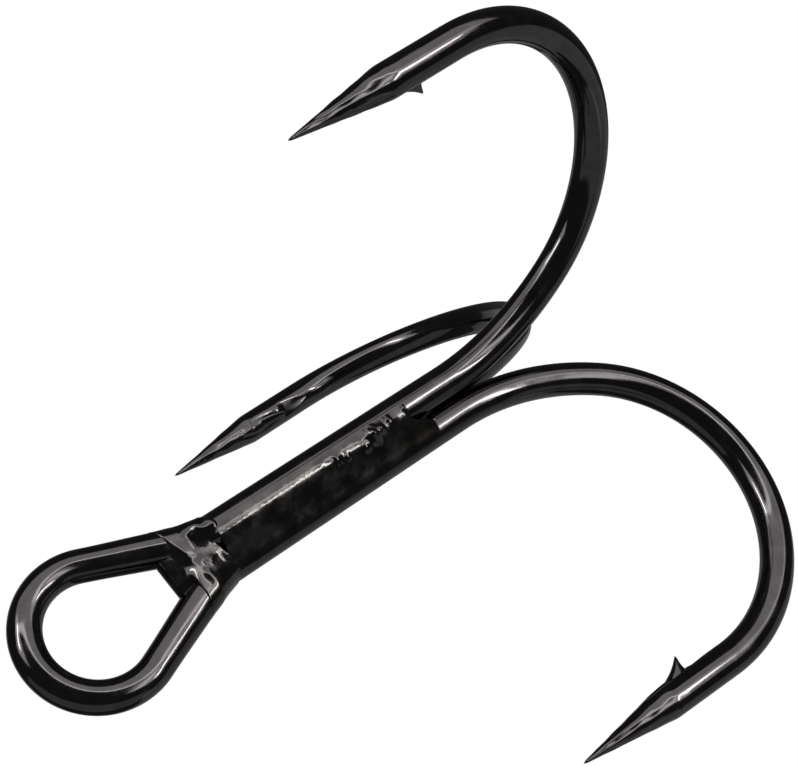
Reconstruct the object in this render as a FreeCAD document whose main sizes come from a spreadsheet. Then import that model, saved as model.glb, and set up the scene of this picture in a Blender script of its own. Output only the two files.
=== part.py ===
"""Treble fishing hook: a double hook bent from one wire round its eye, a single hook that lies in
the valley behind its two shanks, and the two deposits of braze that join them.

Millimetres, +Z up.  The origin is the middle of the eye, whose hole looks along Y; the shanks hang
down -Z.  The eye is turned out of the double hook's plane, so that it lies in line with the double
hook's left-hand half, whose point stands at -X.  Its right-hand half points to the front right
(-Y), and the single hook to the back right (+Y).

Each piece is drawn about the axis between the three shanks, with the double hook's two wires side
by side along X, and its body is then turned and moved to stand as above.
"""

import FreeCAD
import Part
import math
import os
import Sketcher
from FreeCAD import Rotation, Vector

# Driving dimensions, in millimetres and degrees.
DIMENSIONS = {
    "wire_dia": 1.20,          # hook wire
    "eye_wire_dia": 1.09,      # the same wire, drawn down where it makes the eye
    "braze_gap": 0.04,         # between two shanks, filled by the braze
    "eye_radius": 2.18,        # eye, to the middle of the wire
    "leg_angle": 21.6,         # each leg of the eye against the shank
    "throat_radius": 3.0,      # bend from a shank into its leg
    "shank_length": 10.75,     # from the throat's corner to the start of the flare
    "flare_radius": 9.475,
    "flare_angle": 36.2,
    "bend_radius": 5.82,
    "point_lean": 3.75,        # the point leans in towards the shank
    "point_length": 6.8,       # straight part of the point, with its tip
    "taper_length": 4.2,
    "tip_half_angle": 9.6,
    "barb_front": 4.45,        # where the barb's front meets the wire, from the tip
    "barb_tip": 5.25,          # barb's tip, from the tip
    "barb_height": 1.10,       # barb's tip above the middle of the wire
    "barb_root": 0.40,         # depth at which the barb starts, above the middle of the wire
    "barb_width": 0.46,
    "scar_start": 5.20,        # cut behind the barb, from the tip
    "scar_length": 1.30,
    "scar_floor": 0.49,        # bottom of the cut above the middle of the wire
    "braze_rise": 0.52,        # face of the braze beyond the line of two wire centres
    "braze_length": 8.9,       # braze along the shanks
    "web_top": 2.75,           # edge of the throat's braze, below the middle of the eye
    "web_thickness": 1.04,
}

# Values that follow from them, as expressions of the sheet's cells.
WIRE_RADIUS = "(dims.wire_dia / 2)"
HALF_PITCH = "((dims.wire_dia + dims.braze_gap) / 2)"
SHANK_OFFSET = "((dims.wire_dia + dims.braze_gap) / sqrt(3))"
EYE_BACK = f"({SHANK_OFFSET} / 2)"
LEG = "(dims.leg_angle * 1 deg)"
THROAT_DROP = f"((dims.eye_radius - {HALF_PITCH} * cos{LEG}) / sin{LEG})"
THROAT_TANGENT = "(dims.throat_radius * tan(dims.leg_angle * 0.5 deg))"
SHANK_TOP = f"({THROAT_DROP} + {THROAT_TANGENT})"
FLARE_START = f"({THROAT_DROP} + dims.shank_length)"
FLARE = "(dims.flare_angle * 1 deg)"
LEAN = "(dims.point_lean * 1 deg)"
BEND_MIDDLE_OUT = (
    f"({SHANK_OFFSET} + dims.flare_radius - (dims.flare_radius - dims.bend_radius) * cos{FLARE})"
)
BEND_MIDDLE_DOWN = f"({FLARE_START} + (dims.flare_radius - dims.bend_radius) * sin{FLARE})"
POINT_START_OUT = f"({BEND_MIDDLE_OUT} + dims.bend_radius * cos{LEAN})"
POINT_START_DOWN = f"({BEND_MIDDLE_DOWN} - dims.bend_radius * sin{LEAN})"
TIP_OUT = f"({POINT_START_OUT} - dims.point_length * sin{LEAN})"
TIP_DOWN = f"({POINT_START_DOWN} - dims.point_length * cos{LEAN})"
TAPER_OUT = f"({TIP_OUT} + dims.taper_length * sin{LEAN})"
TAPER_DOWN = f"({TIP_DOWN} + dims.taper_length * cos{LEAN})"

TIP_ANGLE = "(dims.tip_half_angle * 1 deg)"
OGIVE_RADIUS = f"((dims.taper_length * tan{TIP_ANGLE} - {WIRE_RADIUS}) / (1 / cos{TIP_ANGLE} - 1))"

ORIGIN = (-1, 1)               # a sketch's own origin, as geometry and vertex
START, END, MIDDLE = 1, 2, 3   # a curve's vertices

DOUBLE_AZIMUTH = -30           # the double hook's right half, degrees about Z from +X
SINGLE_AZIMUTH = 90
SHANK_AZIMUTHS = (DOUBLE_AZIMUTH, SINGLE_AZIMUTH, 210)
EYE_TURN = 30                  # the eye out of the double hook's plane


def make_sheet(doc):
    """The spreadsheet of driving dimensions."""
    sheet = doc.addObject("Spreadsheet::Sheet", "dims")
    for row, (alias, number) in enumerate(DIMENSIONS.items(), start=1):
        sheet.set(f"A{row}", alias)
        sheet.set(f"B{row}", repr(number))
        sheet.setAlias(f"B{row}", alias)
    doc.recompute()
    return sheet


def number(sketch, expression):
    """What an expression of the sheet comes to now."""
    value = sketch.Document.dims.evalExpression(expression)
    return float(getattr(value, "Value", value))


def new_body(doc, name):
    """A body that is drawn about the shanks' axis, and stands with the eye's middle at the origin
    and the eye across Y."""
    body = doc.addObject("PartDesign::Body", name)
    body.Placement = FreeCAD.Placement(Vector(), Rotation(Vector(0, 0, 1), -EYE_TURN))
    body.setExpression("Placement.Base.x", f"{EYE_BACK} * sin({EYE_TURN} * 1 deg)")
    body.setExpression("Placement.Base.y", f"{EYE_BACK} * cos({EYE_TURN} * 1 deg)")
    return body


def sketch_on(body, role, name, turn=0, lift=None):
    """A sketch on one of the body's origin planes, turned about Z and lifted off the plane."""
    sketch = body.newObject("Sketcher::SketchObject", name)
    plane = next(feature for feature in body.Origin.OriginFeatures if feature.Role == role)
    sketch.AttachmentSupport = [(plane, "")]
    sketch.MapMode = "FlatFace"
    if turn:
        sketch.AttachmentOffset = FreeCAD.Placement(Vector(), Rotation(Vector(0, 1, 0), turn))
    if lift:
        sketch.setExpression("AttachmentOffset.Base.z", lift)
    return sketch


def bind(sketch, kind, *where, to):
    """One dimension of a sketch, bound to an expression of the sheet."""
    value = number(sketch, to)
    if kind == "Angle":
        value = FreeCAD.Units.Quantity(value, FreeCAD.Units.Angle)
    index = sketch.addConstraint(Sketcher.Constraint(kind, *where, value))
    sketch.setExpression(f"Constraints[{index}]", f"{to} * 1 deg" if kind == "Angle" else to)


def closed(sketch, lines):
    """Join the ends of consecutive curves of a closed outline."""
    for here, there in zip(lines, lines[1:] + lines[:1]):
        sketch.addConstraint(Sketcher.Constraint("Coincident", here, END, there, START))


def pin_down(sketch, curve, vertex, out, down):
    """Hold a vertex at so much to the right of the sketch's origin and so much below it."""
    bind(sketch, "DistanceX", *ORIGIN, curve, vertex, to=out)
    bind(sketch, "DistanceY", curve, vertex, *ORIGIN, to=down)


def circle(sketch, x, y, radius):
    """A circle whose middle and radius are bound to the sheet."""
    middle = Vector(number(sketch, x), number(sketch, y), 0)
    ring = sketch.addGeometry(Part.Circle(middle, Vector(0, 0, 1), number(sketch, radius)), False)
    bind(sketch, "DistanceX", *ORIGIN, ring, MIDDLE, to=x)
    bind(sketch, "DistanceY", *ORIGIN, ring, MIDDLE, to=y)
    bind(sketch, "Radius", ring, to=radius)


def feature(body, kind, name, sketch, **settings):
    """A PartDesign feature on a sketch, with the given properties."""
    made = body.newObject(f"PartDesign::{kind}", name)
    made.Profile = sketch
    for key, setting in settings.items():
        setattr(made, key, setting)
    return made


def shank_centre(azimuth):
    """Where a shank's wire stands in the XY plane, as two expressions."""
    turn = f"({azimuth} * 1 deg)"
    return f"{SHANK_OFFSET} * cos{turn}", f"{SHANK_OFFSET} * sin{turn}"


def add_shank(body, azimuth):
    """The straight shank, from the eye's throat down to the flare."""
    sketch = sketch_on(body, "XY_Plane", "shank_section", lift=f"-{SHANK_TOP}")
    circle(sketch, *shank_centre(azimuth), WIRE_RADIUS)
    shank = feature(body, "Pad", "shank", sketch, Reversed=True)
    shank.setExpression("Length", f"{FLARE_START} - {SHANK_TOP}")


def arc(middle, radius, start, end):
    """An arc between two angles in degrees."""
    ring = Part.Circle(middle, Vector(0, 0, 1), radius)
    return Part.ArcOfCircle(ring, math.radians(start), math.radians(end))


def below(sketch, out, down):
    """A point of a sketch, from two expressions: to the right of its origin, and below it."""
    return Vector(number(sketch, out), -number(sketch, down), 0)


def turn_line(sketch, start, end):
    """A construction line between two places, each a pair of expressions, to turn a section about."""
    places = [Vector(number(sketch, x), number(sketch, y), 0) for x, y in (start, end)]
    line = sketch.addGeometry(Part.LineSegment(*places), True)
    for vertex, (x, y) in ((START, start), (END, end)):
        bind(sketch, "DistanceX", *ORIGIN, line, vertex, to=x)
        bind(sketch, "DistanceY", *ORIGIN, line, vertex, to=y)


def add_flare(body, azimuth):
    """The wire leaves the shank in a wide arc."""
    sketch = sketch_on(body, "XY_Plane", "flare_section", lift=f"-{FLARE_START}")
    circle(sketch, *shank_centre(azimuth), WIRE_RADIUS)
    out = f"({SHANK_OFFSET} + dims.flare_radius)"
    turn = f"({azimuth} * 1 deg)"
    turn_line(
        sketch,
        (f"{out} * cos{turn} + sin{turn}", f"{out} * sin{turn} - cos{turn}"),
        (f"{out} * cos{turn} - sin{turn}", f"{out} * sin{turn} + cos{turn}"),
    )
    flare = feature(body, "Revolution", "flare", sketch, ReferenceAxis=(sketch, ["Axis0"]))
    flare.Reversed = True
    flare.setExpression("Angle", "dims.flare_angle")


def add_bend(body, azimuth):
    """The round bend, turned both ways from its lowest section."""
    sketch = sketch_on(body, "YZ_Plane", "bend_section", turn=azimuth)
    sketch.setExpression("AttachmentOffset.Base.x", f"{BEND_MIDDLE_OUT} * sin({azimuth} * 1 deg)")
    sketch.setExpression("AttachmentOffset.Base.z", f"{BEND_MIDDLE_OUT} * cos({azimuth} * 1 deg)")
    circle(sketch, "0", f"-({BEND_MIDDLE_DOWN} + dims.bend_radius)", WIRE_RADIUS)
    turn_line(sketch, ("-1", f"-{BEND_MIDDLE_DOWN}"), ("1", f"-{BEND_MIDDLE_DOWN}"))
    bend = feature(body, "Revolution", "bend", sketch, ReferenceAxis=(sketch, ["Axis0"]))
    bend.Type = "TwoAngles"
    bend.setExpression("Angle", "90 - dims.flare_angle")
    bend.setExpression("Angle2", "90 + dims.point_lean")


def add_point(body, azimuth):
    """The point, turned about its own line: straight wire, a long arc, then a short cone."""
    sketch = sketch_on(body, "XZ_Plane", "point_outline", turn=azimuth)
    lean = math.radians(number(sketch, "dims.point_lean"))
    tip_angle = math.radians(number(sketch, "dims.tip_half_angle"))
    radius = number(sketch, WIRE_RADIUS)
    along = Vector(-math.sin(lean), math.cos(lean), 0)
    outwards = Vector(math.cos(lean), math.sin(lean), 0)
    foot = below(sketch, POINT_START_OUT, POINT_START_DOWN)
    shoulder = below(sketch, TAPER_OUT, TAPER_DOWN) + outwards * radius
    tip = below(sketch, TIP_OUT, TIP_DOWN)
    ogive = number(sketch, OGIVE_RADIUS)
    middle = shoulder - outwards * ogive
    meet = middle + outwards * (ogive * math.cos(tip_angle)) + along * (ogive * math.sin(tip_angle))
    axis = sketch.addGeometry(Part.LineSegment(foot, tip), True)
    base = sketch.addGeometry(Part.LineSegment(foot, foot + outwards * radius))
    side = sketch.addGeometry(Part.LineSegment(foot + outwards * radius, shoulder))
    belly = sketch.addGeometry(
        arc(middle, ogive, math.degrees(lean), math.degrees(lean + tip_angle))
    )
    cone = sketch.addGeometry(Part.LineSegment(meet, tip))
    core = sketch.addGeometry(Part.LineSegment(tip, foot))
    for constraint in (
        ("Coincident", base, END, side, START),
        ("Tangent", side, END, belly, START),
        ("Tangent", belly, END, cone, START),
        ("Coincident", cone, END, core, START),
        ("Coincident", core, END, base, START),
        ("Coincident", axis, START, base, START),
        ("Coincident", axis, END, core, START),
        ("Perpendicular", base, axis),
        ("Parallel", side, axis),
    ):
        sketch.addConstraint(Sketcher.Constraint(*constraint))
    pin_down(sketch, core, START, TIP_OUT, TIP_DOWN)
    pin_down(sketch, core, END, POINT_START_OUT, POINT_START_DOWN)
    bind(sketch, "Distance", base, to=WIRE_RADIUS)
    bind(sketch, "Distance", side, to="dims.point_length - dims.taper_length")
    bind(sketch, "Angle", core, START, cone, END, to="dims.tip_half_angle")
    feature(body, "Revolution", "point", sketch, ReferenceAxis=(sketch, ["Axis0"]), Angle=360)


def on_point(back, height):
    """A place in the hook's plane, as two expressions: so far back from the tip along the point's
    line, and so far from that line towards the shank."""
    out = f"{TIP_OUT} + ({back}) * sin{LEAN} - ({height}) * cos{LEAN}"
    down = f"{TIP_DOWN} + ({back}) * cos{LEAN} + ({height}) * sin{LEAN}"
    return out, down


def polygon(sketch, corners):
    """A closed outline through corners that are given as pairs of expressions."""
    places = [below(sketch, *corner) for corner in corners]
    sides = [
        sketch.addGeometry(Part.LineSegment(here, there))
        for here, there in zip(places, places[1:] + places[:1])
    ]
    closed(sketch, sides)
    for side, corner in zip(sides, corners):
        pin_down(sketch, side, START, *corner)


def add_barb(body, azimuth):
    """The cut behind the barb, and the barb that was raised out of it towards the shank."""
    clear = "dims.wire_dia"
    scar = sketch_on(body, "XZ_Plane", "scar_outline", turn=azimuth)
    polygon(scar, [
        on_point("dims.scar_start", "dims.scar_floor"),
        on_point("dims.scar_start + dims.scar_length", WIRE_RADIUS),
        on_point("dims.scar_start + dims.scar_length", clear),
        on_point("dims.scar_start", clear),
    ])
    cut = feature(body, "Pocket", "scar", scar, Midplane=True)
    cut.setExpression("Length", "2 * dims.wire_dia")
    barb = sketch_on(body, "XZ_Plane", "barb_outline", turn=azimuth)
    polygon(barb, [
        on_point("dims.barb_front", "dims.barb_root"),
        on_point("dims.barb_front", WIRE_RADIUS),
        on_point("dims.barb_tip", "dims.barb_height"),
        on_point("dims.scar_start", "dims.barb_root"),
    ])
    spur = feature(body, "Pad", "barb", barb, Midplane=True)
    spur.setExpression("Length", "dims.barb_width")


def add_hook(body, azimuth):
    """One hook: shank, bend, tapered point and barb, in the plane at an azimuth about Z."""
    add_shank(body, azimuth)
    add_flare(body, azimuth)
    add_bend(body, azimuth)
    add_point(body, azimuth)
    add_barb(body, azimuth)


def add_joggle(body, side):
    """The wire's way from a shank into the eye's leg, a loft through three sections: it winds round
    its neighbour into the eye's plane as it bends outwards."""
    sections = []
    for share, name in ((0, "shank_end"), (0.5, "joggle_middle"), (1, "leg_end")):
        turn = side + share * EYE_TURN
        tilt = f"({share} * {LEG})"
        out = f"({HALF_PITCH} + dims.throat_radius * (1 - cos{tilt}))"
        sketch = sketch_on(body, "XY_Plane", name)
        rotation = Rotation(Vector(0, 0, 1), turn) * Rotation(
            Vector(0, 1, 0), share * number(sketch, "dims.leg_angle")
        )
        sketch.AttachmentOffset = FreeCAD.Placement(Vector(), rotation)
        for axis, place in (
            ("x", f"{out} * cos({turn} * 1 deg)"),
            ("y", f"{out} * sin({turn} * 1 deg) - {EYE_BACK}"),
            ("z", f"dims.throat_radius * sin{tilt} - {SHANK_TOP}"),
        ):
            sketch.setExpression(f"AttachmentOffset.Base.{axis}", place)
        circle(sketch, "0", "0", WIRE_RADIUS)
        sections.append(sketch)
    feature(body, "AdditiveLoft", "joggle", sections[0], Sections=sections[1:])


def add_leg(body, side):
    """A leg of the eye: the wire drawn down evenly from the throat to the ring."""
    sketch = sketch_on(body, "XZ_Plane", "leg_outline", turn=side + EYE_TURN, lift=EYE_BACK)
    foot_out = f"{HALF_PITCH} + {THROAT_TANGENT} * sin{LEG}"
    foot_down = f"{THROAT_DROP} - {THROAT_TANGENT} * cos{LEG}"
    head_out = f"dims.eye_radius * cos{LEG}"
    head_down = f"dims.eye_radius * sin{LEG}"
    thin = "(dims.eye_wire_dia / 2)"
    polygon(sketch, [
        (foot_out, foot_down),
        (f"{foot_out} + {WIRE_RADIUS} * cos{LEG}", f"{foot_down} + {WIRE_RADIUS} * sin{LEG}"),
        (f"{head_out} + {thin} * cos{LEG}", f"{head_down} + {thin} * sin{LEG}"),
        (head_out, head_down),
    ])
    axis = sketch.addGeometry(
        Part.LineSegment(below(sketch, foot_out, foot_down), below(sketch, head_out, head_down)),
        True,
    )
    pin_down(sketch, axis, START, foot_out, foot_down)
    pin_down(sketch, axis, END, head_out, head_down)
    feature(body, "Revolution", "leg", sketch, ReferenceAxis=(sketch, ["Axis0"]), Angle=360)


def add_ring(body):
    """The eye's ring, turned both ways from its top down to where the legs leave it."""
    sketch = sketch_on(body, "YZ_Plane", "ring_section", turn=EYE_TURN)
    sketch.setExpression("AttachmentOffset.Base.x", f"-{EYE_BACK}")
    circle(sketch, "0", "dims.eye_radius", "(dims.eye_wire_dia / 2)")
    turn_line(sketch, ("-1", "0"), ("1", "0"))
    ring = feature(body, "Revolution", "ring", sketch, ReferenceAxis=(sketch, ["Axis0"]))
    ring.Type = "TwoAngles"
    ring.setExpression("Angle", "90 + dims.leg_angle")
    ring.setExpression("Angle2", "90 + dims.leg_angle")


def double_hook(doc):
    """Two hooks and the eye between them, followed along one length of wire."""
    body = new_body(doc, "double_hook")
    add_hook(body, DOUBLE_AZIMUTH)
    add_joggle(body, 0)
    add_leg(body, 0)
    add_ring(body)
    add_leg(body, 180)
    add_joggle(body, 180)
    add_hook(body, 180 - DOUBLE_AZIMUTH)
    return body


def single_hook(doc):
    """The third hook, whose shank ends bare under the eye's throat."""
    body = new_body(doc, "single_hook")
    add_hook(body, SINGLE_AZIMUTH)
    return body


def braze_section(sketch):
    """The space between the shanks: three faces, joined by arcs that follow the three wires."""
    radius = number(sketch, WIRE_RADIUS)
    reach = 60 + math.degrees(math.acos(number(sketch, f"dims.braze_rise / {WIRE_RADIUS}")))
    wires = []
    for azimuth in SHANK_AZIMUTHS:
        centre = Vector(*(number(sketch, value) for value in shank_centre(azimuth)), 0)
        inwards = azimuth + 180
        wires.append(sketch.addGeometry(arc(centre, radius, inwards - reach, inwards + reach)))
        bind(sketch, "DistanceX", *ORIGIN, wires[-1], MIDDLE, to=shank_centre(azimuth)[0])
        bind(sketch, "DistanceY", *ORIGIN, wires[-1], MIDDLE, to=shank_centre(azimuth)[1])
        bind(sketch, "Radius", wires[-1], to=WIRE_RADIUS)
    for here, there in zip(wires, wires[1:] + wires[:1]):
        corners = sketch.getPoint(here, START), sketch.getPoint(there, END)
        face = sketch.addGeometry(Part.LineSegment(*corners))
        sketch.addConstraint(Sketcher.Constraint("Coincident", face, START, here, START))
        sketch.addConstraint(Sketcher.Constraint("Coincident", face, END, there, END))
        bind(sketch, "Distance", here, MIDDLE, face, to="dims.braze_rise")
        bind(sketch, "Distance", there, MIDDLE, face, to="dims.braze_rise")


def shank_braze(doc):
    """The braze between the three shanks: it fills the space between them and the capillary gaps,
    and shows as a narrow face in each of the three valleys."""
    body = new_body(doc, "shank_braze")
    sketch = sketch_on(body, "XY_Plane", "braze_section", lift=f"-{SHANK_TOP}")
    braze_section(sketch)
    fill = feature(body, "Pad", "fill", sketch, Reversed=True)
    fill.setExpression("Length", "dims.braze_length")
    return body


def throat_braze(doc, wire):
    """The braze that closes the throat between the eye's two legs, cut out round the wire."""
    body = new_body(doc, "throat_blank")
    sketch = sketch_on(body, "XZ_Plane", "throat_outline", turn=EYE_TURN, lift=EYE_BACK)
    spread = f"({HALF_PITCH} + ({THROAT_DROP} - dims.web_top) * tan{LEG})"
    polygon(sketch, [
        (HALF_PITCH, SHANK_TOP),
        (HALF_PITCH, THROAT_DROP),
        (spread, "dims.web_top"),
        (f"-{spread}", "dims.web_top"),
        (f"-{HALF_PITCH}", THROAT_DROP),
        (f"-{HALF_PITCH}", SHANK_TOP),
    ])
    web = feature(body, "Pad", "web", sketch, Midplane=True)
    web.setExpression("Length", "dims.web_thickness")
    braze = doc.addObject("Part::Cut", "throat_braze")
    braze.Base = body
    braze.Tool = wire
    return braze


def save(doc, pieces):
    """Check every object of the document and write each sub-part to its own file."""
    for made in doc.Objects:
        if {"Invalid", "Error"} & set(made.State):
            raise RuntimeError(f"{made.Name} did not build: {made.State}")
    os.makedirs("parts", exist_ok=True)
    for piece in pieces:
        shape = piece.Shape
        if shape.isNull() or not shape.isValid():
            raise RuntimeError(f"{piece.Label} has no valid shape")
        box = shape.optimalBoundingBox()
        print(
            f"{piece.Label}: {len(shape.Solids)} solid, {shape.Volume:.2f} mm3,"
            f" x {box.XMin:.2f}..{box.XMax:.2f}, y {box.YMin:.2f}..{box.YMax:.2f},"
            f" z {box.ZMin:.2f}..{box.ZMax:.2f}"
        )
        shape.exportStep(f"parts/{piece.Label}.step")


def main():
    doc = FreeCAD.newDocument("treble_hook")
    make_sheet(doc)
    wire = double_hook(doc)
    doc.recompute()
    pieces = [wire, single_hook(doc), shank_braze(doc), throat_braze(doc, wire)]
    doc.recompute()
    save(doc, pieces)


main()
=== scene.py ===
"""A treble hook in black nickel: the wires, barbs and braze as finished surfaces on the CAD frame.

Metres, +Z up the shanks to the eye.  Lengths below are in millimetres and are turned into metres
where a surface becomes a mesh.  The shapes are worked out about the axis between the three shanks,
with the double hook's two wires side by side along X, and stand() then turns and moves them onto
the frame, whose origin is the middle of the eye.
"""

import math

import bpy
import numpy as np
from mathutils import Matrix, Vector

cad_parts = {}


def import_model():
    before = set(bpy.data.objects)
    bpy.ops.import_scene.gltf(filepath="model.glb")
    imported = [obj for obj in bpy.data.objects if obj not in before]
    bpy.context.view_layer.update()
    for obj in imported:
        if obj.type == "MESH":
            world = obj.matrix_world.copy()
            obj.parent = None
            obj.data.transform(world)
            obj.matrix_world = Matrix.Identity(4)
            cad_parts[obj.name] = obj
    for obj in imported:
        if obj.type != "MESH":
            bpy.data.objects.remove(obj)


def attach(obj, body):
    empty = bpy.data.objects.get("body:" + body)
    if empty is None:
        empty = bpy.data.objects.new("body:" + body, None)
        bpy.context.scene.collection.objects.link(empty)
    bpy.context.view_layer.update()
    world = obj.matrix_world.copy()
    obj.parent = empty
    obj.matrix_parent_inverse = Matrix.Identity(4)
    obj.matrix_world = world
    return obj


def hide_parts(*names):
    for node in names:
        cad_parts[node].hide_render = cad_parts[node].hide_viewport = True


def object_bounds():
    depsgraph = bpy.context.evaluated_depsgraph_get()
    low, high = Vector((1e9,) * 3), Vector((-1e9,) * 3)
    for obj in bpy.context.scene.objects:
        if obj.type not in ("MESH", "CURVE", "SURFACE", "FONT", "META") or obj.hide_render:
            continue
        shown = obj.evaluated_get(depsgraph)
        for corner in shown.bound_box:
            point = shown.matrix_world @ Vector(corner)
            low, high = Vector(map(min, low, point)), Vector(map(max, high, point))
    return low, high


MM = 0.001

# The bent wire, in millimetres and degrees.
WIRE = 0.60                   # radius of the hook wire
EYE_WIRE = 0.545              # radius where the wire is drawn down for the eye
GAP = 0.04                    # braze between two shanks
EYE_RADIUS = 2.18
EYE_TURN = math.radians(30)   # the eye out of the double hook's plane
LEG_ANGLE = math.radians(21.6)
THROAT_RADIUS = 3.0
SHANK_LENGTH = 10.75
FLARE_RADIUS = 9.475
FLARE_ANGLE = math.radians(36.2)
BEND_RADIUS = 5.82
POINT_LEAN = math.radians(3.75)
POINT_LENGTH = 6.8

# The point and its barb.
TAPER_LENGTH = 3.9
POINT_BLUNT = 0.035           # radius that the taper's straight line would keep at the tip
BEVEL_SLOPE = 0.42            # last bevel at the very tip
SHOULDER_ROUND = 0.03         # rounding where the taper meets the full wire
FINE_LENGTH = 6.6             # stretch of the point with closely spaced rings
TIP_LENGTH = 0.20
SIDES = 112                   # facets round a wire
GRINDING = 0.0040             # unevenness that grinding left on the taper
GRINDING_WAVE = 0.42
GRINDING_DRAWN = 0.6          # share of the length along the wire that the ripples see
BARB_TIP = 5.25               # the barb's tip, from the point's tip
BARB_TOP = 1.12               # and above the wire's middle
BARB_FOOT = 0.30              # height of the barb's first ring, inside the wire
BARB_FRONT = 2.20             # reach of that ring towards the point's tip
BARB_BACK = 0.06              # and its reach the other way, past the barb's tip
BARB_HOLLOW = 0.06            # how far the back curves in
BARB_EDGE = 0.025             # extra half thickness at the foot
BARB_WIDE = 0.27              # half width across the hook's plane, at the foot
BARB_SHIFTS = 0.10, -0.04     # the right and the left barb, along the point
SLIVER_LENGTH = 2.2           # raised sliver in front of the scar
SLIVER_ANGLE = 0.46
GROOVE_DEPTH = 0.035
GROOVE_WIDTH = 0.14
CUT_ROUND = 0.06              # edge of the single hook's cut end
SCARS = {                     # start behind the tip, length, depth, half angle
    "right": (5.38, 1.1, 0.04, 0.42),
    "left": (5.24, 1.1, 0.04, 0.42),
    "behind": (5.28, 1.5, 0.11, 0.70),
}

HALF_PITCH = WIRE + GAP / 2
SHANK_OFFSET = 2 * HALF_PITCH / math.sqrt(3)
EYE_BACK = SHANK_OFFSET / 2   # the eye's middle in front of the axis between the shanks
THROAT_DROP = (EYE_RADIUS - HALF_PITCH * math.cos(LEG_ANGLE)) / math.sin(LEG_ANGLE)
SHANK_TOP = THROAT_DROP + THROAT_RADIUS * math.tan(LEG_ANGLE / 2)
FLARE_START = THROAT_DROP + SHANK_LENGTH

RIGHT, BEHIND, LEFT = (math.radians(angle) for angle in (-30, 90, 210))


# ---------------------------------------------------------------- meshes

def tube_faces(rings, sides):
    """Quads between consecutive rings of a tube, and a fan onto one pole at each end."""
    ring, side = np.meshgrid(np.arange(rings - 1), np.arange(sides), indexing="ij")
    a = ring * sides + side
    b = ring * sides + (side + 1) % sides
    quads = np.stack([a, b, b + sides, a + sides], -1).reshape(-1, 4)
    first, last = rings * sides, rings * sides + 1
    side = np.arange(sides)
    start = np.stack([np.full(sides, first), (side + 1) % sides, side], -1)
    end_ring = (rings - 1) * sides
    end = np.stack([np.full(sides, last), end_ring + side, end_ring + (side + 1) % sides], -1)
    return quads, np.concatenate([start, end])


def stand(points):
    """Turn points about Z by the eye's turn, backwards, and move the eye's middle to the origin."""
    c, s = math.cos(EYE_TURN), math.sin(EYE_TURN)
    x, y, z = points[:, 0], points[:, 1] + EYE_BACK, points[:, 2]
    return np.stack([c * x + s * y, c * y - s * x, z], 1)


def join_shells(name, shells, smooth_angle):
    """One mesh of several closed tubes.  Each tube is a grid of rings by sides by 3 and a grid of
    its drawn coordinates, which the mesh keeps as an attribute."""
    points, drawn, faces, count = [], [], [], 0
    for grid, along in shells:
        rings, sides, _ = grid.shape
        quads, caps = tube_faces(rings, sides)
        for whole, part in ((points, grid), (drawn, along)):
            whole += [part.reshape(-1, 3), part[:1].mean(1), part[-1:].mean(1)]
        faces += (quads + count).tolist() + (caps + count).tolist()
        count += rings * sides + 2
    mesh = bpy.data.meshes.new(name)
    mesh.from_pydata((stand(np.concatenate(points)) * MM).tolist(), [], faces)
    lines = mesh.attributes.new("drawn", "FLOAT_VECTOR", "POINT")
    lines.data.foreach_set("vector", np.concatenate(drawn).ravel())
    mesh.update()
    mesh.shade_smooth()
    mesh.set_sharp_from_angle(angle=smooth_angle)
    piece = bpy.data.objects.new(name, mesh)
    bpy.context.scene.collection.objects.link(piece)
    return piece


def smooth_step(low, high, value):
    """0 below low, 1 above high, and a smooth cubic between."""
    t = np.clip((value - low) / (high - low), 0, 1)
    return t * t * (3 - 2 * t)


def ripples(points, wavelength, seed):
    """Uneven waves of about unit height: the sum of plane cosine waves of one wavelength in
    random directions."""
    random = np.random.default_rng(seed)
    ways = random.normal(size=(20, 3))
    ways /= np.linalg.norm(ways, axis=1, keepdims=True)
    phases = random.uniform(0, 2 * math.pi, 20)
    waves = np.cos(points @ ways.T * (2 * math.pi / wavelength) + phases)
    return waves.sum(-1) * math.sqrt(2 / 20)


# ---------------------------------------------------------------- the wire's path

def turned(vectors, axis, angles):
    """Vectors turned about an axis by each of some angles: the part along the axis stays, and the
    rest goes round as cosine and sine (Rodrigues)."""
    axis = np.asarray(axis, float)
    vectors = np.asarray(vectors, float)
    c, s = (part[:, None] for part in (np.cos(angles), np.sin(angles)))
    along = np.outer(np.full(len(angles), vectors @ axis), axis)
    return vectors * c + np.cross(axis, vectors) * s + along * (1 - c)


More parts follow.
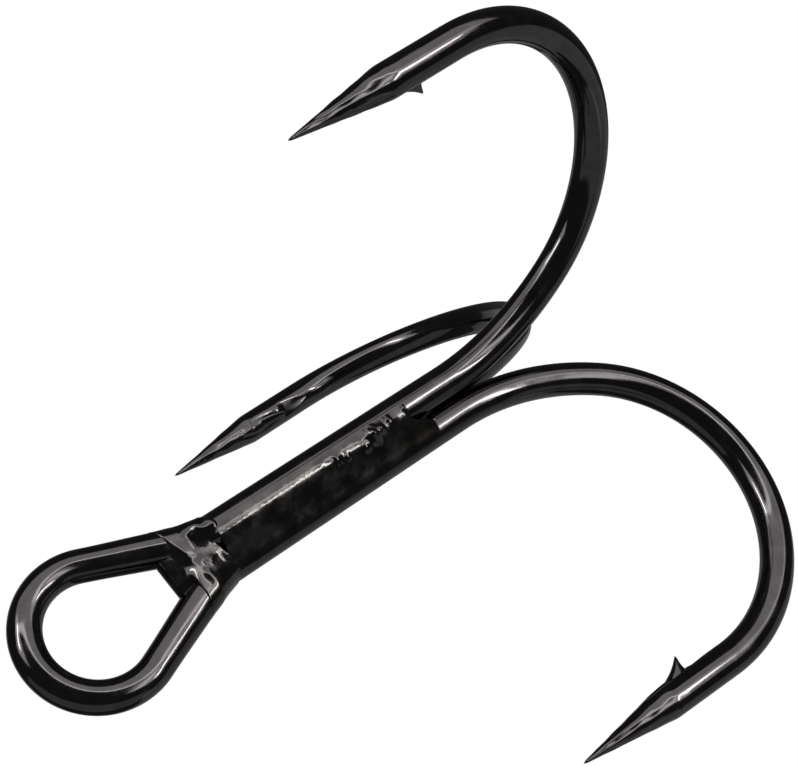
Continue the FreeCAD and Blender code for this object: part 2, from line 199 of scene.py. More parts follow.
class Rail:
    """A path of straight runs and turns that carries a frame along without twisting it."""

    def __init__(self, place, ahead, side):
        """Start at a place, heading ahead, with the section's angle 0 towards side."""
        self.place, self.ahead, self.side = (np.asarray(v, float) for v in (place, ahead, side))
        self.gape = self.side
        self.length = 0.0
        self.rows = []

    def keep(self, places, aheads, sides, distance):
        """Store one stretch, without its last sample, and move on to its end."""
        rows = np.concatenate([places, aheads, sides, (self.length + distance)[:, None]], 1)
        self.rows.append(rows[:-1])
        self.place, self.ahead, self.side = places[-1], aheads[-1], sides[-1]
        self.length += distance[-1]

    def run(self, length, steps):
        """A straight run: place = start + distance times ahead."""
        distance = np.linspace(0, length, steps + 1)
        places = self.place + np.outer(distance, self.ahead)
        aheads, sides = (np.repeat(v[None], steps + 1, 0) for v in (self.ahead, self.side))
        self.keep(places, aheads, sides, distance)

    def turn(self, towards, radius, angle, steps):
        """A round turn towards a side: place = middle + radius, turned by distance over radius."""
        towards = np.asarray(towards, float)
        angles = np.linspace(0, angle, steps + 1)
        axis = np.cross(self.ahead, towards)
        middle = self.place + radius * towards
        places = middle + turned(-radius * towards, axis, angles)
        self.gape = turned(self.gape, axis, angles)[-1]
        self.keep(
            places, turned(self.ahead, axis, angles), turned(self.side, axis, angles),
            radius * angles,
        )

    def wind(self, places):
        """A free stretch through places: headings are their differences, and each side is the one
        before it less its part along the heading."""
        aheads = np.gradient(places, axis=0)
        aheads /= np.linalg.norm(aheads, axis=1, keepdims=True)
        sides = [self.side]
        for ahead in aheads[1:]:
            side = sides[-1] - (sides[-1] @ ahead) * ahead
            sides.append(side / np.linalg.norm(side))
        steps = np.linalg.norm(np.diff(places, axis=0), axis=1)
        self.keep(places, aheads, np.array(sides), np.concatenate([[0], np.cumsum(steps)]))

    def table(self):
        """Places, headings, sides and distances of every sample, the path's end included."""
        end = np.concatenate([self.place, self.ahead, self.side, [self.length]])
        rows = np.concatenate(self.rows + [end[None]])
        return rows[:, :3], rows[:, 3:6], rows[:, 6:9], rows[:, 9]

    def gape_angle(self):
        """The section's angle that looks into the gape."""
        across = np.cross(self.ahead, self.side)
        return math.atan2(self.gape @ across, self.gape @ self.side)


def hook_runs(rail, azimuth):
    """Carry a rail that heads down a shank through the flare and the bend to the point's tip."""
    rail.gape = np.array([math.cos(azimuth), math.sin(azimuth), 0.0])
    rail.run(FLARE_START - SHANK_TOP, 30)
    rail.turn(rail.gape, FLARE_RADIUS, FLARE_ANGLE, 36)
    rail.turn(rail.gape, BEND_RADIUS, math.pi + POINT_LEAN - FLARE_ANGLE, 90)
    rail.run(POINT_LENGTH - FINE_LENGTH, 4)
    rail.run(FINE_LENGTH - TIP_LENGTH, 136)
    rail.run(TIP_LENGTH, 8)


def joggle(side, share):
    """The middle of the wire between a shank's top (share 0) and the foot of the eye's leg
    (share 1): it bends outwards on the throat's radius and winds round by the eye's turn."""
    tilt = share * LEG_ANGLE
    out = HALF_PITCH + THROAT_RADIUS * (1 - np.cos(tilt))
    turn = side + EYE_TURN * smooth_step(0, 1, share)
    height = THROAT_RADIUS * np.sin(tilt) - SHANK_TOP
    return np.stack([out * np.cos(turn), out * np.sin(turn) - EYE_BACK, height], 1)


def double_rail(side, azimuth):
    """Half of the double hook's wire, from the top of the eye to a tip.  The half leaves the eye
    at an angle about Z, 0 on the right and pi on the left."""
    c, s = math.cos(side + EYE_TURN), math.sin(side + EYE_TURN)
    hole = [-math.sin(EYE_TURN), math.cos(EYE_TURN), 0]
    rail = Rail([0, -EYE_BACK, EYE_RADIUS], [c, s, 0], hole)
    rail.turn([0, 0, -1], EYE_RADIUS, math.pi / 2 + LEG_ANGLE, 50)
    throat_tangent = THROAT_RADIUS * math.tan(LEG_ANGLE / 2)
    leg_drop = THROAT_DROP - EYE_RADIUS * math.sin(LEG_ANGLE)
    rail.run(leg_drop / math.cos(LEG_ANGLE) - throat_tangent, 16)
    rail.wind(joggle(side, np.linspace(1, 0, 25)))
    rail.ahead = np.array([0, 0, -1.0])
    hook_runs(rail, azimuth)
    return rail


def single_rail():
    """The single hook's wire, from its cut end to its tip."""
    rail = Rail([0, SHANK_OFFSET, -SHANK_TOP], [0, 0, -1], [0, 1, 0])
    hook_runs(rail, BEHIND)
    return rail


# ---------------------------------------------------------------- the wire's surface

def point_radius(to_tip):
    """The wire's radius near the tip: a straight cone from the tip's small bevel up to the full
    wire, whose shoulder is rounded as a smooth minimum of the two."""
    cone = POINT_BLUNT + to_tip * (WIRE - POINT_BLUNT) / TAPER_LENGTH
    cone = np.minimum(cone, to_tip * BEVEL_SLOPE)
    gap = (WIRE - cone) / SHOULDER_ROUND
    return WIRE - SHOULDER_ROUND * np.logaddexp(0, gap * 4) / 4


def hook_surface(rail, radius, scar):
    """Rings round a rail: place + radius times (cosine of the angle towards the side + sine of
    the angle across it), with ripples on the taper and less the cut behind the barb.  The drawn
    coordinates beside it are the ring's own cosine and sine and the distance to the tip, much
    shortened."""
    places, aheads, sides, distance = rail.table()
    across = np.cross(aheads, sides)
    to_tip = distance[-1] - distance
    angle = np.linspace(0, 2 * math.pi, SIDES, endpoint=False)
    from_gape = (angle - rail.gape_angle() + math.pi) % (2 * math.pi) - math.pi
    around = np.stack(np.broadcast_arrays(
        WIRE * np.cos(angle), WIRE * np.sin(angle),
        to_tip[:, None] * GRINDING_DRAWN + len(to_tip),
    ), -1)
    ground = smooth_step(0.3, 1.2, to_tip) * (1 - smooth_step(3.6, 4.6, to_tip))
    ground = GRINDING * ripples(around, GRINDING_WAVE, 21) * ground[:, None]
    reach = np.maximum(radius[:, None] + ground - scar_depth(to_tip, from_gape, scar), 0)
    c, s = (np.broadcast_to(v, reach.shape)[..., None] for v in (np.cos(angle), np.sin(angle)))
    grid = places[:, None] + reach[..., None] * (c * sides[:, None] + s * across[:, None])
    length = np.broadcast_to(to_tip[:, None, None], c.shape) / 12
    return grid, np.concatenate([c * WIRE, s * WIRE, length], -1)


def scar_depth(to_tip, from_gape, scar):
    """How deep the cut is: a leaf-shaped scoop behind the barb, steep at the barb and running out
    towards the bend, and a groove down each side of the raised sliver."""
    start, length, depth, half_angle = scar
    along = np.clip((to_tip - start) / length, 0, 1)[:, None]
    leaf = half_angle * (1 - along) ** 0.6 + 1e-6
    scoop = smooth_step(0, 0.22, along) * (1 - along) ** 0.8
    scoop = scoop * np.clip(1 - (from_gape[None] / leaf) ** 2, 0, 1)
    front = np.clip((start - to_tip) / SLIVER_LENGTH, 0, 1)[:, None]
    edge = SLIVER_ANGLE * np.sin(math.pi * front) ** 0.7
    groove = np.exp(-((np.abs(from_gape[None]) - edge) / GROOVE_WIDTH) ** 2)
    groove = groove * smooth_step(0, 0.15, front) * (1 - smooth_step(0.8, 1, front))
    return depth * scoop + GROOVE_DEPTH * groove


def barb_surface(rail, shift):
    """The barb as a wedge: rings round a line square to the point, from inside the wire out to the
    barb's sharp tip.  Each ring is a superellipse between a front edge, which falls away slowly
    towards the hook's tip, and a back edge, which curves in to the wire behind it.  The wedge is
    shifted along the point to suit each hook."""
    along, height = -rail.ahead, rail.gape
    across = np.cross(along, height)
    share = np.concatenate([np.linspace(0, 0.9, 50), np.linspace(0.9, 1, 16)[1:]])
    tip = BARB_TIP + shift
    rise = BARB_FOOT + (BARB_TOP - BARB_FOOT) * share
    left = 1 - share
    front = tip - BARB_FRONT * (0.45 * left + 0.55 * left ** 3)
    back = tip + BARB_BACK * left ** 2.4 - BARB_HOLLOW * np.sin(math.pi * left) ** 2
    middle, half = (front + back) / 2, (back - front) / 2 + BARB_EDGE * np.sqrt(left)
    wide = BARB_WIDE * left ** 0.65
    angle = np.linspace(0, 2 * math.pi, 48, endpoint=False)
    c, s = np.cos(angle), np.sin(angle)
    in_plane = (half[:, None] * np.sign(c) * np.abs(c) ** 0.9)[..., None]
    flat = (wide[:, None] * np.sign(s) * np.abs(s) ** 0.9)[..., None]
    place = rail.place + middle[:, None] * along + rise[:, None] * height
    grid = place[:, None] + in_plane * along + flat * across
    length = np.broadcast_to(rise[:, None, None], flat.shape) / 12
    return grid, np.concatenate([in_plane, flat, length], -1)


def double_hook():
    """The double hook: one closed tube from tip to tip, and a barb on each point."""
    halves = []
    for side, azimuth, scar in ((math.pi, LEFT, "left"), (0, RIGHT, "right")):
        rail = double_rail(side, azimuth)
        distance = rail.table()[3]
        ring_end = EYE_RADIUS * (math.pi / 2 + LEG_ANGLE)
        drawn_down = EYE_WIRE + (WIRE - EYE_WIRE) * smooth_step(ring_end, ring_end + 3.0, distance)
        radii = np.minimum(point_radius(distance[-1] - distance), drawn_down)
        halves.append((rail, *hook_surface(rail, radii, SCARS[scar])))
    (left, left_grid, left_lines), (right, right_grid, right_lines) = halves
    # The left half runs the other way, so its rings are gone round the other way too.
    turn_round = (-np.arange(SIDES)) % SIDES
    wire = (
        np.concatenate([left_grid[::-1, turn_round], right_grid[1:]]),
        np.concatenate([left_lines[::-1, turn_round], right_lines[1:]]),
    )
    shells = [wire]
    for rail, shift in zip((right, left), BARB_SHIFTS):
        shells.append(barb_surface(rail, shift))
    return join_shells("double_hook_wire", shells, math.radians(38))


def single_hook():
    """The single hook: its cut end is slightly rounded, and its barb faces the shank."""
    rail = single_rail()
    distance = rail.table()[3]
    rounding = 1 - np.sqrt(1 - (1 - np.clip(distance / CUT_ROUND, 0, 1)) ** 2)
    radii = point_radius(distance[-1] - distance) - CUT_ROUND * rounding
    shells = [hook_surface(rail, radii, SCARS["behind"]), barb_surface(rail, 0.0)]
    return join_shells("single_hook_wire", shells, math.radians(38))


# ---------------------------------------------------------------- the braze

# A face of braze in each valley between two shanks: the valley's azimuth, how far the face stands
# beyond the line of the two wires' middles, and how much it slopes along that line.
VALLEYS = (
    (math.radians(-90), 0.635, 0.05),
    (math.radians(30), 0.42, 0.0),
    (math.radians(150), 0.42, 0.0),
)
FRONT = VALLEYS[0][0]
CROWN = 1.15                  # the braze thins out over a wire at this distance from the axis
LUMPS = (                     # height down the shank, angle from the front valley, size, rise
    (-9.75, 0.44, 0.13, 0.07),
    (-10.15, 0.36, 0.10, 0.05),
    (-10.95, 0.30, 0.12, 0.08),
    (-11.40, 0.50, 0.22, 0.17),
    (-11.75, 0.56, 0.12, 0.11),
    (-12.20, 0.62, 0.17, 0.06),
    (-12.95, 0.66, 0.10, 0.08),
)
# A broad swell up onto the right wire: height, angle, size down the shank and round it, rise.
WETTED = (-11.3, 0.50, 1.0, 0.34, 0.06)
FACE_BLEND = 22               # sharpness of the smooth minimum of the faces and the crown
MENISCUS = 24                 # sharpness of the smooth maximum with the wires
UNDER_SKIN = 0.024            # how far under the wires' skin that maximum starts


def braze_grid(heights, sides, axis, radius):
    """Rings round an upright axis: the axis plus a radius, which is a function of the angle and
    the height."""
    angle = np.linspace(0, 2 * math.pi, sides, endpoint=False)
    angle, height = np.meshgrid(angle, heights)
    way = np.stack([np.cos(angle), np.sin(angle)], -1)
    reach = radius(angle, height)
    flat = np.asarray(axis) + reach[..., None] * way
    return np.concatenate([flat, height[..., None]], -1)


def shank_braze_radius(angle, height):
    """The distance from the axis to the braze between the shanks: a smooth minimum of the flat
    faces of the three valleys and of the round crown, with an uneven skin and border, and lumps
    on top.  In each valley the braze sinks back between the wires at its lower end.  A smooth
    maximum with the wires themselves, a hair under their skin, rounds the face up onto them."""
    place = np.stack([np.cos(angle) * 0.9, np.sin(angle) * 0.9, height], -1)
    skin = 0.003 * ripples(place, 1.4, 3) + 0.0006 * ripples(place, 0.32, 4)
    faces = []
    for azimuth, rise, slope in VALLEYS:
        off = (angle - azimuth + math.pi) % (2 * math.pi) - math.pi
        end = -13.55 + 0.75 * np.tanh(2.5 * off) if azimuth == FRONT else -13.7 + 0 * off
        run_out = 0.35 + 0.25 * np.tanh(2.5 * off)
        left = smooth_step(end - run_out, end, height + 0.03 * ripples(place, 0.6, 5))
        depth = (rise + 0.2) * left - 0.2 + skin
        if azimuth == FRONT:
            down, lean, long, wide, lift = WETTED
            away = np.hypot((height - down) / long, (off - lean) / wide)
            depth = depth + lift * np.exp(-away ** 2)
        faces.append((EYE_BACK + depth) / np.maximum(np.cos(off) - slope * np.sin(off), 0.2))
    off = (angle - FRONT + math.pi) % (2 * math.pi) - math.pi
    right_side = smooth_step(0.15, 0.6, off) * (1 - smooth_step(0.9, 1.3, off))
    border = smooth_step(0.42, 0.58, off) * (1 - smooth_step(0.62, 0.74, off))
    ragged = 0.0035 * ripples(place, 0.45, 8) + 0.0012 * ripples(place, 0.2, 9)
    faces.append(CROWN + 0.02 + 0.055 * right_side + ragged * border)
    least = -np.log(sum(np.exp(-FACE_BLEND * face) for face in faces)) / FACE_BLEND
    rough = 1 + 0.12 * ripples(place, 0.25, 6)
    for down, lean, size, lift in LUMPS:
        away = np.hypot(height - down, 0.95 * (off - lean)) / size
        least = least + lift * np.exp(-away ** 2) * rough
    wires = []
    for azimuth in (RIGHT, BEHIND, LEFT):
        off = angle - azimuth
        half_chord = np.sqrt(np.maximum(WIRE ** 2 - (SHANK_OFFSET * np.sin(off)) ** 2, 0))
        wires.append(np.where(np.cos(off) > 0.55, SHANK_OFFSET * np.cos(off) + half_chord, 0.1))
    wire = np.max(wires, axis=0) - UNDER_SKIN
    return np.logaddexp(MENISCUS * least, MENISCUS * wire) / MENISCUS


def hull_radius(angle, rounds, axis):
    """The distance from an axis to a tight skin round several round wires: the least, over all
    directions, of the skin's furthest reach that way over the cosine of the angle between."""
    ways = np.linspace(0, 2 * math.pi, 360, endpoint=False)
    least = np.full(angle.shape, np.inf)
    for way in ways:
        reach = np.max([
            (x - axis[0]) * math.cos(way) + (y - axis[1]) * math.sin(way) + r for x, y, r in rounds
        ], axis=0)
        between = np.cos(angle - way)
        nearer = np.minimum(least, reach / np.maximum(between, 0.12))
        least = np.where(between > 0.12, nearer, least)
    return least


COLLAR_TOP, COLLAR_STEP, COLLAR_FOOT = -2.76, -3.12, -4.90
DIMPLES = (                   # height, angle in the eye's plane from its right, size, rise
    (-3.45, -0.75, 0.13, 0.07),
    (-3.62, -1.45, 0.22, -0.07),
    (-3.75, -2.35, 0.13, 0.07),
    (-3.95, -1.10, 0.24, -0.04),
    (-4.10, -1.95, 0.18, 0.05),
    (-4.35, -0.75, 0.16, 0.06),
    (-4.55, -1.45, 0.20, -0.05),
    (-4.70, -2.20, 0.15, 0.07),
    (-4.85, -1.05, 0.14, 0.05),
)


def throat_braze_radius(angle, height):
    """The distance from the eye's upright axis to the braze of the throat.  Above the step it is a
    flat web between the legs, a superellipse whose thickness falls to the web's edge; below, a
    tight skin round the wires and the single hook's cut end, with dimples."""
    from_leg = angle - EYE_TURN
    share = np.clip((height + SHANK_TOP) / (THROAT_RADIUS * math.sin(LEG_ANGLE)), 0, 1)
    above = np.maximum(height + THROAT_DROP - 0.53, 0) * math.tan(LEG_ANGLE)
    tilt = share * LEG_ANGLE
    out = HALF_PITCH + THROAT_RADIUS * (1 - np.cos(tilt)) + above
    turn = EYE_TURN * smooth_step(0, 1, share)
    thick = WIRE / np.cos(tilt)
    covered = smooth_step(-4.35, -5.05, height)
    rounds = [
        (out * np.cos(turn), out * np.sin(turn) - EYE_BACK, thick),
        (-out * np.cos(turn), -out * np.sin(turn) - EYE_BACK, thick),
        (0 * height, covered * (SHANK_OFFSET + EYE_BACK) - EYE_BACK, WIRE - 0.25 * (1 - covered)),
    ]
    skin = hull_radius(angle, rounds, (0, -EYE_BACK))
    place = np.stack([np.cos(angle), np.sin(angle), height], -1)
    uneven = 0.006 * ripples(place, 0.9, 11) + 0.001 * ripples(place, 0.3, 12)
    for level, way, size, lift in DIMPLES:
        off = (from_leg - way + math.pi) % (2 * math.pi) - math.pi
        uneven = uneven + lift * np.exp(-(np.hypot(height - level, 0.8 * off) / size) ** 2)
    coat = (0.035 + uneven) * smooth_step(0.1, 0.8, COLLAR_STEP - height) - 0.004
    behind = smooth_step(0.2, 0.9, np.sin(angle))
    foot = COLLAR_FOOT - 0.8 * behind + 0.08 * ripples(place, 0.9, 13)
    skin = skin + coat - 0.16 * smooth_step(foot + 0.22, foot - 0.05, height)
    drop = np.clip((COLLAR_TOP - height) / 0.9, 0, 1)
    edge = np.sqrt(np.clip(drop / 0.12, 0, 1) * (2 - np.clip(drop / 0.12, 0, 1)))
    web = (0.22 + 0.34 * drop) * edge + 0.004
    flat = (np.abs(np.cos(from_leg)) / (out - 0.1)) ** 3 + (np.abs(np.sin(from_leg)) / web) ** 3
    between_legs = np.sin(from_leg) ** 2
    step = COLLAR_STEP - 0.40 * between_legs + 0.03 * ripples(place, 0.7, 14)
    soft = 0.06 + 0.16 * between_legs
    wrapped = np.clip((step + soft - height) / (2 * soft), 0, 1)
    wrapped = wrapped * wrapped * (3 - 2 * wrapped)
    return flat ** (-1 / 3) * (1 - wrapped) + skin * wrapped


def shank_braze():
    """The braze between the three shanks, from the throat down to its ragged end."""
    heights = np.linspace(-4.8, -14.4, 400)
    grid = braze_grid(heights, 224, (0, 0), shank_braze_radius)[:, ::-1]
    return join_shells("shank_braze_fill", [(grid, grid)], math.radians(60))


def throat_braze():
    """The braze that fills the throat and wraps the feet of the eye's legs."""
    heights = np.linspace(COLLAR_TOP, -6.2, 300)
    grid = braze_grid(heights, 288, (0, -EYE_BACK), throat_braze_radius)[:, ::-1]
    return join_shells("throat_braze_collar", [(grid, grid)], math.radians(60))


# ---------------------------------------------------------------- materials

class Nodes:
    """A node tree under construction: each call adds a node, sets the inputs that are plain values
    and links those that are sockets of other nodes."""

    def __init__(self, tree):
        self.tree = tree
        self.column = 0

    def add(self, kind, inputs=None, **settings):
        node = self.tree.nodes.new(kind)
        node.location = (200 * self.column, -160 * (self.column % 4))
        self.column += 1
        for name, setting in settings.items():
            setattr(node, name, setting)
        for name, value in (inputs or {}).items():
            if isinstance(value, bpy.types.NodeSocket):
                self.tree.links.new(value, node.inputs[name])
            else:
                node.inputs[name].default_value = value
        return node

    def math(self, operation, *values):
        """The result of a Math node."""
        return self.add("ShaderNodeMath", dict(enumerate(values)), operation=operation).outputs[0]

    def spread(self, value, low, high, to_low, to_high):
        """A value carried smoothly from one range to another."""
        return self.add(
            "ShaderNodeMapRange",
            {
                "Value": value, "From Min": low, "From Max": high,
                "To Min": to_low, "To Max": to_high,
            },
            interpolation_type="SMOOTHSTEP",
        ).outputs["Result"]

    def noise(self, place, scale, detail, rough=0.5):
        """Noise from 0 to 1, mostly near 0.5."""
        return self.add("ShaderNodeTexNoise", {
            "Vector": place, "Scale": scale, "Detail": detail, "Roughness": rough,
        }).outputs["Fac"]

    def blend(self, share, first, second):
        """Two colours mixed."""
        node = self.add("ShaderNodeMix", data_type="RGBA")
        for place, value in ((0, share), (6, first), (7, second)):
            socket = node.inputs[place]
            if isinstance(value, bpy.types.NodeSocket):
                self.tree.links.new(value, socket)
            else:
                socket.default_value = value
        return node.outputs[2]


def new_group(name, inputs, outputs):
    """An empty node group with its sockets: names with their kinds."""
    group = bpy.data.node_groups.new(name, "ShaderNodeTree")
    for sockets, way in ((inputs, "INPUT"), (outputs, "OUTPUT")):
        for label, kind in sockets.items():
            group.interface.new_socket(label, in_out=way, socket_type=f"NodeSocket{kind}")
    nodes = Nodes(group)
    return group, nodes, nodes.add("NodeGroupInput").outputs


def plated_tone():
    """The plate's colour: clouds a few tenths of a millimetre wide between two tones, and faint
    tarnish in larger patches.  Puts out the colour and the clouds, which also dull the gloss."""
    group, nodes, given = new_group(
        "plated_tone",
        {"Place": "Vector", "Dark": "Color", "Light": "Color", "Tarnish": "Color"},
        {"Color": "Color", "Clouds": "Float"},
    )
    clouds = nodes.spread(nodes.noise(given["Place"], 1400, 4, 0.6), 0.32, 0.68, 0, 1)
    patches = nodes.spread(nodes.noise(given["Place"], 320, 2), 0.48, 0.72, 0, 0.8)
    tone = nodes.blend(clouds, given["Dark"], given["Light"])
    color = nodes.blend(patches, tone, given["Tarnish"])
    nodes.add("NodeGroupOutput", {"Color": color, "Clouds": clouds})
    return group


def drawn_skin():
    """The skin of drawn wire: fine lines along the wire and shallow pits.  The lines follow the
    drawn coordinates, in which the wire's length is much shortened."""
    group, nodes, given = new_group(
        "drawn_skin",
        {"Place": "Vector", "Lines": "Vector", "Line Share": "Float", "Pit Scale": "Float"},
        {"Height": "Float", "Streaks": "Float"},
    )
    coarse = nodes.noise(given["Lines"], 9, 3, 0.6)
    fine = nodes.noise(given["Lines"], 34, 2, 0.6)
    coarse, fine = nodes.math("MULTIPLY", coarse, 0.6), nodes.math("MULTIPLY", fine, 0.4)
    streaks = nodes.math("ADD", coarse, fine)
    pits = nodes.spread(nodes.noise(given["Place"], given["Pit Scale"], 3, 0.65), 0.60, 0.80, 0, -1)
    swell = nodes.noise(given["Place"], 900, 2)
    lined = nodes.math("MULTIPLY", streaks, given["Line Share"])
    height = nodes.math("ADD", nodes.math("ADD", lined, nodes.math("MULTIPLY", pits, 0.15)), swell)
    nodes.add("NodeGroupOutput", {"Height": height, "Streaks": streaks})
    return group


def rubbed_plate():
    """Where handling has rubbed the plate: sparse short scuffs, as a mask."""
    group, nodes, given = new_group(
        "rubbed_plate", {"Place": "Vector", "Amount": "Float"}, {"Mask": "Float"}
    )
    where = nodes.spread(nodes.noise(given["Place"], 520, 3, 0.6), 0.52, 0.70, 0, 1)
    scuffs = nodes.spread(nodes.noise(given["Place"], 5200, 4, 0.75), 0.56, 0.72, 0, 1)
    mask = nodes.math("MULTIPLY", nodes.math("MULTIPLY", where, scuffs), given["Amount"])
    nodes.add("NodeGroupOutput", {"Mask": mask})
    return group


def finish(name, groups, looks):
    """Black nickel plate: a dark metal whose colour, gloss and relief come from the groups."""
    tone_group, skin_group, rub_group = groups
    material = bpy.data.materials.new(name)
    material.use_nodes = True
    nodes = Nodes(material.node_tree)
    shader = material.node_tree.nodes["Principled BSDF"]
    place = nodes.add("ShaderNodeTexCoord").outputs["Object"]
    lines = nodes.add("ShaderNodeAttribute", attribute_name="drawn").outputs["Vector"]
    tone = nodes.add("ShaderNodeGroup", node_tree=tone_group)
    skin = nodes.add("ShaderNodeGroup", node_tree=skin_group)
    rub = nodes.add("ShaderNodeGroup", node_tree=rub_group)
    for group, sockets in (
        (tone, {"Place": place, **looks["tones"]}),
        (skin, {"Place": place, "Lines": lines, **looks["skin"]}),
        (rub, {"Place": place, "Amount": looks["rubbed"]}),
    ):
        for label, value in sockets.items():
            if isinstance(value, bpy.types.NodeSocket):
                material.node_tree.links.new(value, group.inputs[label])
            else:
                group.inputs[label].default_value = value
    color = nodes.blend(rub.outputs["Mask"], tone.outputs["Color"], looks["bare"])
    low, high = looks["roughness"]
    dull = nodes.math("ADD", nodes.math("MULTIPLY", tone.outputs["Clouds"], 0.6),
                      nodes.math("MULTIPLY", skin.outputs["Streaks"], 0.4))
    rough = nodes.spread(dull, 0.1, 0.9, low, high)
    rough = nodes.math("ADD", rough, nodes.math("MULTIPLY", rub.outputs["Mask"], 0.12))
    relief = nodes.add("ShaderNodeBump", {
        "Strength": looks["relief"], "Distance": looks["depth"], "Height": skin.outputs["Height"],
    })
    links = material.node_tree.links
    links.new(color, shader.inputs["Base Color"])
    links.new(rough, shader.inputs["Roughness"])
    links.new(relief.outputs["Normal"], shader.inputs["Normal"])
    shader.inputs["Metallic"].default_value = 1.0
    return material


def finishes():
    """The finishes of the wires and of the braze."""
    groups = plated_tone(), drawn_skin(), rubbed_plate()
    wire = finish("black_nickel_wire", groups, {
        "tones": {
            "Dark": (0.085, 0.082, 0.085, 1), "Light": (0.110, 0.103, 0.108, 1),
            "Tarnish": (0.088, 0.078, 0.084, 1),
        },
        "skin": {"Line Share": 0.9, "Pit Scale": 7000.0},
        "rubbed": 0.35, "bare": (0.16, 0.155, 0.15, 1), "roughness": (0.07, 0.15),
        "relief": 0.05, "depth": 0.000012,
    })
    braze = finish("black_nickel_braze", groups, {
        "tones": {
            "Dark": (0.070, 0.068, 0.068, 1), "Light": (0.125, 0.118, 0.116, 1),
            "Tarnish": (0.075, 0.072, 0.064, 1),
        },
        "skin": {"Line Share": 0.0, "Pit Scale": 4200.0},
        "rubbed": 0.4, "bare": (0.18, 0.17, 0.165, 1), "roughness": (0.09, 0.20),
        "relief": 0.05, "depth": 0.000015,
    })
    return wire, braze


# ---------------------------------------------------------------- camera, floor and light

MIDDLE = Vector((0, 0, -10 * MM))


def camera():
    """The camera: close over the eye, looking down past it with the shanks rolled across."""
    right = Vector((-0.63363, -0.25706, -0.72968))
    up = Vector((0.73541, -0.49292, -0.46496))
    back = right.cross(up)
    lens = bpy.data.cameras.new("camera")
    lens.sensor_width = 36
    lens.lens = 80.36
    lens.clip_start = 0.001
    eye = bpy.data.objects.new("camera", lens)
    turn = Matrix((right, up, back)).transposed()
    eye.matrix_world = Matrix.Translation(Vector((-13.518, -51.434, 17.16)) * MM) @ turn.to_4x4()
    bpy.context.scene.collection.objects.link(eye)
    bpy.context.scene.camera = eye
    return right, up, back


def panel(name, view, across, above, wide, high, strength, color=(1, 1, 1)):
    """A soft light, given in degrees as the camera would see it behind itself: so far across to
    the right and above the line back to the camera, so wide and so high."""
    right, up, back = view
    across, above = math.radians(across), math.radians(above)
    level = right * math.sin(across) + back * math.cos(across)
    way = level * math.cos(above) + up * math.sin(above)
    side = (right * math.cos(across) - back * math.sin(across)).normalized()
    distance = 0.20
    lamp = bpy.data.lights.new(name, "AREA")
    lamp.shape = "RECTANGLE"
    lamp.size = 2 * distance * math.tan(math.radians(wide / 2))
    lamp.size_y = 2 * distance * math.tan(math.radians(high / 2))
    lamp.energy = strength * math.pi * lamp.size * lamp.size_y
    lamp.color = color
    light = bpy.data.objects.new(name, lamp)
    turn = Matrix((side, way.cross(side), way)).transposed()
    light.matrix_world = Matrix.Translation(MIDDLE + way * distance) @ turn.to_4x4()
    light.visible_camera = False
    bpy.context.scene.collection.objects.link(light)


def lights(view):
    """A broad softbox over the camera between two upright side boxes, each with a bright core,
    and dim panels under and behind the hook."""
    soft = (1, 0.97, 0.98)
    panel("softbox", view, 0, 64, 98, 36, 1.05, soft)
    panel("softbox_edge", view, 4, 47, 70, 5, 3.0)
    panel("left_box", view, -46, 25, 24, 34, 1.6, soft)
    panel("left_core", view, -46, 28, 5, 20, 14.0, (1, 1, 0.90))
    panel("right_box", view, 50, 24, 30, 38, 1.0, soft)
    panel("right_core", view, 57, 20, 4, 24, 14.0, (1, 1, 0.92))
    panel("right_glow", view, 43, 20, 9, 24, 2.2, (1, 1, 0.95))
    panel("under", view, 0, -66, 120, 50, 0.20)
    panel("right_back", view, 130, -25, 80, 60, 0.24)
    panel("left_back", view, -155, -10, 50, 60, 0.22)


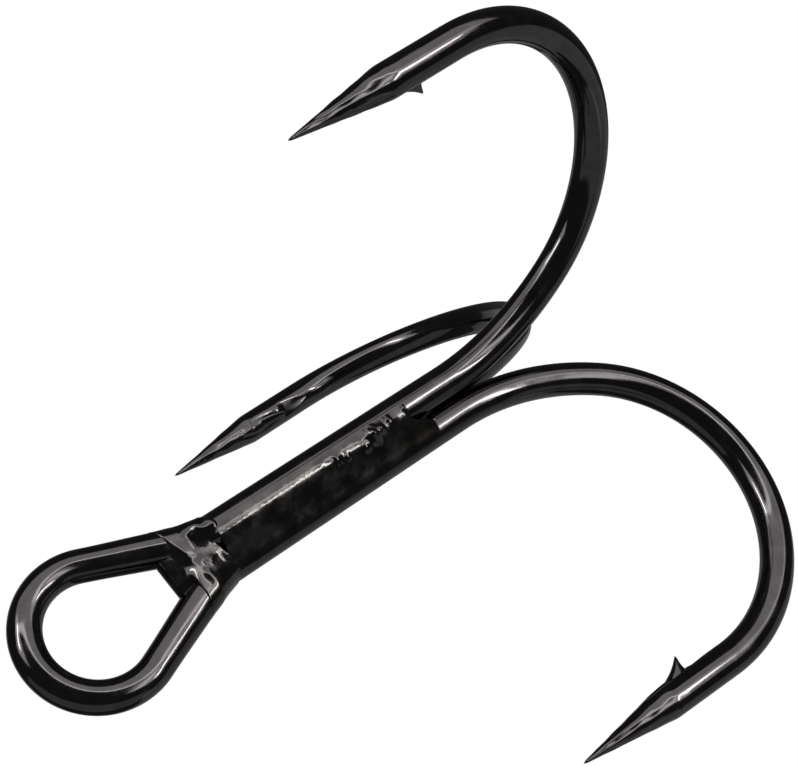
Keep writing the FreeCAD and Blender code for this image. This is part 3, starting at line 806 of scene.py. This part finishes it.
def world():
    """A white surround for the camera, which the metal sees as nearly black."""
    sky = bpy.data.worlds.new("surround")
    bpy.context.scene.world = sky
    sky.use_nodes = True
    nodes = Nodes(sky.node_tree)
    white = sky.node_tree.nodes["Background"]
    white.inputs["Color"].default_value = (1, 1, 1, 1)
    dark = nodes.add("ShaderNodeBackground", {"Color": (0.05, 0.05, 0.05, 1)})
    seen = nodes.add("ShaderNodeLightPath").outputs["Is Camera Ray"]
    both = nodes.add("ShaderNodeMixShader", {
        0: seen, 1: dark.outputs[0], 2: white.outputs[0],
    })
    out = sky.node_tree.nodes["World Output"]
    sky.node_tree.links.new(both.outputs[0], out.inputs["Surface"])


def floor(height):
    """A plain white floor under the hook.  It lets the panels that stand lower shine through."""
    mesh = bpy.data.meshes.new("floor")
    corners = [(-0.6, -0.6, height), (0.6, -0.6, height), (0.6, 0.6, height), (-0.6, 0.6, height)]
    mesh.from_pydata(corners, [], [(0, 1, 2, 3)])
    ground = bpy.data.objects.new("floor", mesh)
    for ray in ("diffuse", "glossy", "transmission", "shadow"):
        setattr(ground, f"visible_{ray}", False)
    bpy.context.scene.collection.objects.link(ground)
    paper = bpy.data.materials.new("white_paper")
    paper.use_nodes = True
    nodes = Nodes(paper.node_tree)
    paper.node_tree.nodes.remove(paper.node_tree.nodes["Principled BSDF"])
    white = nodes.add("ShaderNodeEmission", {"Color": (1, 1, 1, 1), "Strength": 1.0})
    out = paper.node_tree.nodes["Material Output"]
    paper.node_tree.links.new(white.outputs[0], out.inputs["Surface"])
    mesh.materials.append(paper)


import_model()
cad_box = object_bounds()

view = camera()
wire_finish, braze_finish = finishes()
for piece, node, finish_of, slot in (
    (double_hook(), "double_hook", wire_finish, "hook_wire"),
    (single_hook(), "single_hook", wire_finish, "hook_wire"),
    (shank_braze(), "shank_braze", braze_finish, "braze"),
    (throat_braze(), "throat_braze", braze_finish, "braze"),
):
    piece.data.materials.append(finish_of)
    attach(piece, "root")
    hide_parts(node)

floor(cad_box[0][2])
lights(view)
world()
bpy.context.scene.view_settings.view_transform = "Standard"
